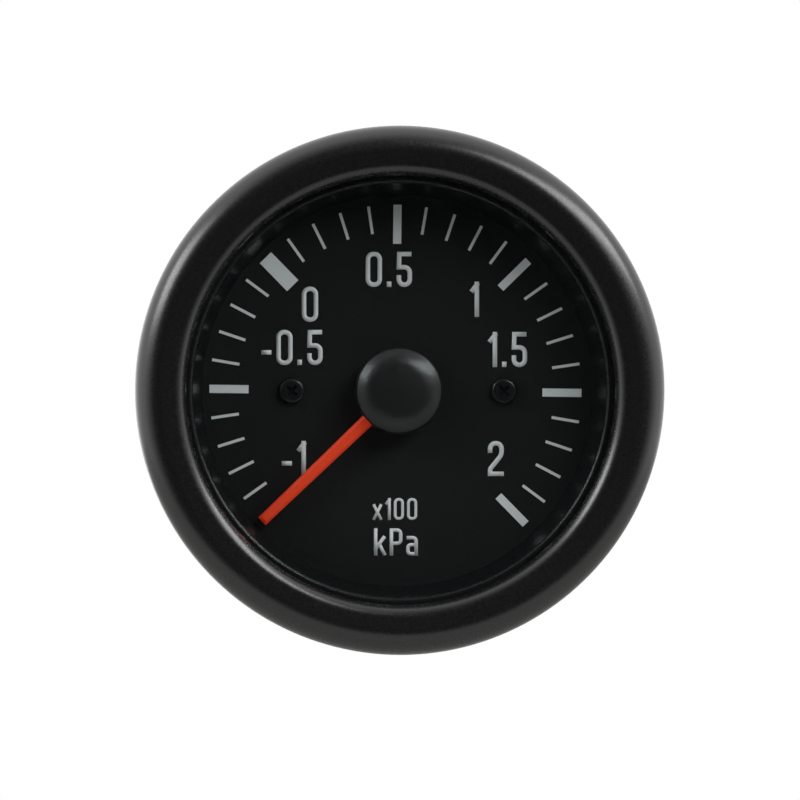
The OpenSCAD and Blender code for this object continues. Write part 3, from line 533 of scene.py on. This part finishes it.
# Socket, its washer and its nut. The brass block that holds the movement ends in a threaded
# socket, which a fibre washer and a hexagon nut hold in the rear wall.
SOCKET_R, SOCKET_END, SOCKET_TIP = 5.0, -39.0, 0.6
SOCKET_PITCH, SOCKET_THREAD = 1.0, 0.5
SOCKET_CUT = -36.5
WASHER_R, WASHER_T, WASHER_ROUND = 8.0, 1.0, 0.15
NUT_AF, NUT_T, NUT_FACE_SHARE = 14.0, 4.0, 0.96
OVER = 0.1

block = bmesh.new()
block.from_mesh(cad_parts["socket_block"].data)
bmesh.ops.transform(block, matrix=STAND_UP.inverted(), verts=block.verts)
bmesh.ops.remove_doubles(block, verts=block.verts, dist=MERGE)
bmesh.ops.bisect_plane(block, geom=block.verts[:] + block.edges[:] + block.faces[:],
                       plane_co=(0, 0, SOCKET_CUT), plane_no=(0, 0, -1), clear_outer=True)
bmesh.ops.holes_fill(block, edges=[e for e in block.edges if e.is_boundary])
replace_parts(stood(block, "block_and_boss", brass), "socket_block")
bm = threaded(SOCKET_R, SOCKET_THREAD, SOCKET_PITCH, SOCKET_CUT, SOCKET_END, SOCKET_TIP, 64)
stood(bm, "socket_thread", brass)

fibre = Paint("washer_fibre", (0.20, 0.045, 0.03), 0.7)
fibre.tint(fibre.noise(0.0006), (0.17, 0.035, 0.022), (0.24, 0.06, 0.04))
fibre.bump(fibre.noise(0.0002, stretch=(1, 5, 1)), 0.000008, 0.6)
washer_z = CASE_BACK - WASHER_T
bm = spun(filleted([(SOCKET_HOLE_R, washer_z, 0), (WASHER_R, washer_z, WASHER_ROUND),
                    (WASHER_R, CASE_BACK, WASHER_ROUND), (SOCKET_HOLE_R, CASE_BACK, 0)], steps=3),
          closed=True, steps=96)
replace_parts(stood(bm, "fibre_washer", fibre), "socket_washer")


def hexagon(name, paint, across, low, high, inside, face_share):
    """A bored hexagon bar, with its corners turned down to a share of its width at both faces."""
    corner_r = across / math.sqrt(3)
    bm = bmesh.new()
    flat_up = Matrix.Translation((0, 0, (low + high) / 2)) @ Matrix.Rotation(math.pi / 6, 4, "Z")
    bmesh.ops.create_cone(bm, cap_ends=True, segments=6, radius1=corner_r, radius2=corner_r, depth=high - low,
                          matrix=flat_up)
    piece = stood(bm, name, paint)
    face_r, wide = across / 2 * face_share, corner_r + OVER
    turned = spun(filleted([
        (inside, low - OVER, 0), (face_r - OVER * 2, low - OVER, 0), (wide, low + (wide - face_r) / 2, 0),
        (wide, high - (wide - face_r) / 2, 0), (face_r - OVER * 2, high + OVER, 0),
        (inside, high + OVER, 0)]), closed=True, steps=96)
    cut(piece, turned, "INTERSECT")
    return piece


nut = hexagon("socket_hexagon", brass, NUT_AF, washer_z - NUT_T, washer_z, SOCKET_R - SOCKET_THREAD,
              NUT_FACE_SHARE)
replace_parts(nut, "socket_nut")

# Hose nipple. Turned from hexagon brass bar: a short thread in the socket, a hexagon for the
# spanner, a plain stem and three barbs that taper towards the hose, bored through.
BORE_R, NIPPLE_THREAD_R, NIPPLE_TOP = 1.2, 2.2, -34.5
NIPPLE_AF, NIPPLE_HEX_T, NIPPLE_FACE_SHARE = 8.0, 3.0, 0.95
NIPPLE_SINK, NIPPLE_ROUND = 0.5, 0.2
STEM_R, STEM_END, STEM_ROUND = 2.5, -47.0, 0.15
BARBS, BARB_L, BARB_DROP, BARB_FOOT, BARB_TOP, BARB_LAND = 3, 2.0, 0.5, 0.25, 0.4, 0.3
BARB_ROUND, BARB_TOP_ROUND, LEAD = 0.1, 0.08, 0.35

spanner_z = SOCKET_END - NIPPLE_HEX_T
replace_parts(hexagon("nipple_hexagon", brass, NIPPLE_AF, spanner_z, SOCKET_END, BORE_R, NIPPLE_FACE_SHARE),
            "hose_nipple")
outline = [(BORE_R, NIPPLE_TOP, 0), (NIPPLE_THREAD_R, NIPPLE_TOP, NIPPLE_ROUND),
           (NIPPLE_THREAD_R, SOCKET_END - NIPPLE_SINK, 0), (STEM_R, SOCKET_END - NIPPLE_SINK, 0),
           (STEM_R, STEM_END, STEM_ROUND)]
for i in range(BARBS):
    z = STEM_END - i * BARB_L
    outline += [(STEM_R - BARB_DROP, z, BARB_ROUND), (STEM_R - BARB_DROP, z - BARB_FOOT, BARB_ROUND),
                (STEM_R, z - BARB_TOP, BARB_TOP_ROUND), (STEM_R, z - BARB_TOP - BARB_LAND, BARB_ROUND)]
barb_end = STEM_END - BARBS * BARB_L
outline += [(STEM_R - BARB_DROP, barb_end, LEAD), (BORE_R, barb_end, 0)]
stood(spun(filleted(outline, steps=3), closed=True, steps=72), "hose_stem", brass)

# Lamp holder. Moulded in black plastic and twisted into the rear wall: a barrel inside, a flange
# against the wall, and a neck with ribs to grip. Its bulb has a flat base, and its two blades
# are tinned brass.
LAMP_R, LAMP_IN = 5.4, -28.0
LAMP_FLANGE_R, LAMP_FLANGE_T = 7.0, 1.5
LAMP_NECK_R, LAMP_BACK = 5.0, -40.0
LAMP_IN_ROUND, LAMP_SEAT_ROUND, LAMP_BACK_ROUND, LAMP_ROOT_ROUND = 0.3, 0.2, 0.5, 0.4
GRIPS, GRIP_R, GRIP_SINK, GRIP_ROUND_SHARE = 10, 0.7, 0.2, 0.9
POCKET_R, POCKET_END = 3.0, -33.0

holder = Paint("holder_black", (0.016, 0.016, 0.017), 0.45)
holder.feed(holder.shader, {"Roughness": holder.spread(holder.noise(0.0008), 0.40, 0.52)})
holder.bump(holder.noise(0.0003), 0.000006, 0.5)
flange_z = CASE_BACK - LAMP_FLANGE_T
bm = spun(filleted([
    (0, POCKET_END, 0), (POCKET_R, POCKET_END, 0), (POCKET_R, LAMP_IN, 0), (LAMP_R, LAMP_IN, LAMP_IN_ROUND),
    (LAMP_R, CASE_BACK, 0), (LAMP_FLANGE_R, CASE_BACK, LAMP_SEAT_ROUND),
    (LAMP_FLANGE_R, flange_z, LAMP_BACK_ROUND), (LAMP_NECK_R, flange_z, LAMP_ROOT_ROUND),
    (LAMP_NECK_R, LAMP_BACK, LAMP_BACK_ROUND), (0, LAMP_BACK, 0)], steps=5), steps=96)
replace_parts(stood(moved(bm, 0, LAMP_Y), "lamp_barrel", holder), "lamp_holder")
bm = bmesh.new()
for i in range(GRIPS):
    rib = spun(filleted([(0, flange_z + GRIP_SINK, 0), (GRIP_R, flange_z + GRIP_SINK, 0),
                         (GRIP_R, LAMP_BACK, GRIP_R * GRIP_ROUND_SHARE), (0, LAMP_BACK, 0)], steps=5),
               steps=20)
    moved(rib, LAMP_NECK_R)
    bmesh.ops.rotate(rib, verts=rib.verts, matrix=Matrix.Rotation(math.tau * i / GRIPS, 3, "Z"))
    bm.from_mesh(meshed(rib, "rib"))
stood(moved(bm, 0, LAMP_Y), "lamp_ribs", holder)

bulb = Paint("bulb_glass", (0.92, 0.90, 0.82), 0.05)
bulb.feed(bulb.shader, {"Alpha": 0.5})
bulb.tint(bulb.noise(0.003), (0.90, 0.88, 0.80), (0.94, 0.92, 0.85))
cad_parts["lamp_bulb"].material_slots[0].material = bulb.material
tin = metal("terminal_tin", (0.66, 0.66, 0.63), 0.30, 0.0003, (1, 0.2, 1))
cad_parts["lamp_terminals"].material_slots[0].material = tin.material

# Studio. A pale floor under and behind the gauge, a soft box to its upper left, a wider one to
# its upper right, a white backdrop behind it and a dark room in front of it.
FLOOR_DROP, FLOOR_R, FLOOR_BACK = 0.06, 0.27, 0.17
LIGHT_AWAY = 0.6
SOFT_BOXES = [("left_box", 151, 19, 0.34, 0.20, 1.5), ("right_box", 41, 33, 0.56, 0.18, 2.3)]
FADE, ROOM_LIGHT, BACKDROP_LIGHT = (-0.80, -0.15), (0.03, 1.3), 1.0

bm = bmesh.new()
bmesh.ops.create_circle(bm, cap_ends=True, segments=96, radius=FLOOR_R)
mesh = meshed(moved(bm, 0, FLOOR_BACK, -FLOOR_DROP), "floor")
pale = Paint("floor_pale", (0.42, 0.42, 0.41), 0.9)
pale.tint(pale.noise(0.04), (0.41, 0.41, 0.40), (0.43, 0.43, 0.42))
mesh.materials.append(pale.material)
floor = linked("floor", mesh)

for name, around, ahead, wide, deep, watts in SOFT_BOXES:
    around, ahead = math.radians(around), math.radians(ahead)
    towards = Vector((math.cos(around) * math.cos(ahead), -math.sin(ahead), math.sin(around) * math.cos(ahead)))
    lamp = bpy.data.lights.new(name, "AREA")
    lamp.energy = watts
    lamp.shape = "RECTANGLE"
    lamp.size, lamp.size_y = wide, deep
    light = linked(name, lamp)
    light.location = towards * LIGHT_AWAY
    light.rotation_euler = towards.to_track_quat("Z", "Y").to_euler()

world = bpy.data.worlds.new("studio")
world.use_nodes = True
room = Nodes(world.node_tree)
facing = room.add("ShaderNodeTexCoord", out="Generated")
rearward = room.add("ShaderNodeSeparateXYZ", {"Vector": facing}, out="Y")
fade = room.add("ShaderNodeMapRange", {
    "Value": rearward, "From Min": FADE[0], "From Max": FADE[1], "To Min": ROOM_LIGHT[0], "To Max": ROOM_LIGHT[1]})
seen = room.add("ShaderNodeLightPath", out="Is Camera Ray")
strength = room.add("ShaderNodeMix", {0: seen, 2: fade, 3: BACKDROP_LIGHT})
room.feed(room.tree.nodes["Background"], {"Color": (1, 1, 1, 1), "Strength": strength})
bpy.context.scene.world = world
bpy.context.scene.view_settings.view_transform = "Standard"

# Camera. A long lens, level with the dial and almost square to it, with the whole gauge in
# view and a white margin all round.
AZIMUTH, ELEVATION = -2.9, -0.7
CAMERA_AWAY = 1.2
VIEW_W = 0.0907
AIM = Vector((0.0, -0.003, -0.0011))
away, up = math.radians(AZIMUTH), math.radians(ELEVATION)
back = Vector((math.sin(away) * math.cos(up), -math.cos(away) * math.cos(up), math.sin(up)))
lens = bpy.data.cameras.new("camera")
lens.lens = lens.sensor_width * CAMERA_AWAY / VIEW_W
lens.clip_start, lens.clip_end = 0.01, 20
camera = linked("camera", lens)
camera.location = AIM + back * CAMERA_AWAY
camera.rotation_euler = back.to_track_quat("Z", "Y").to_euler()
bpy.context.scene.camera = camera
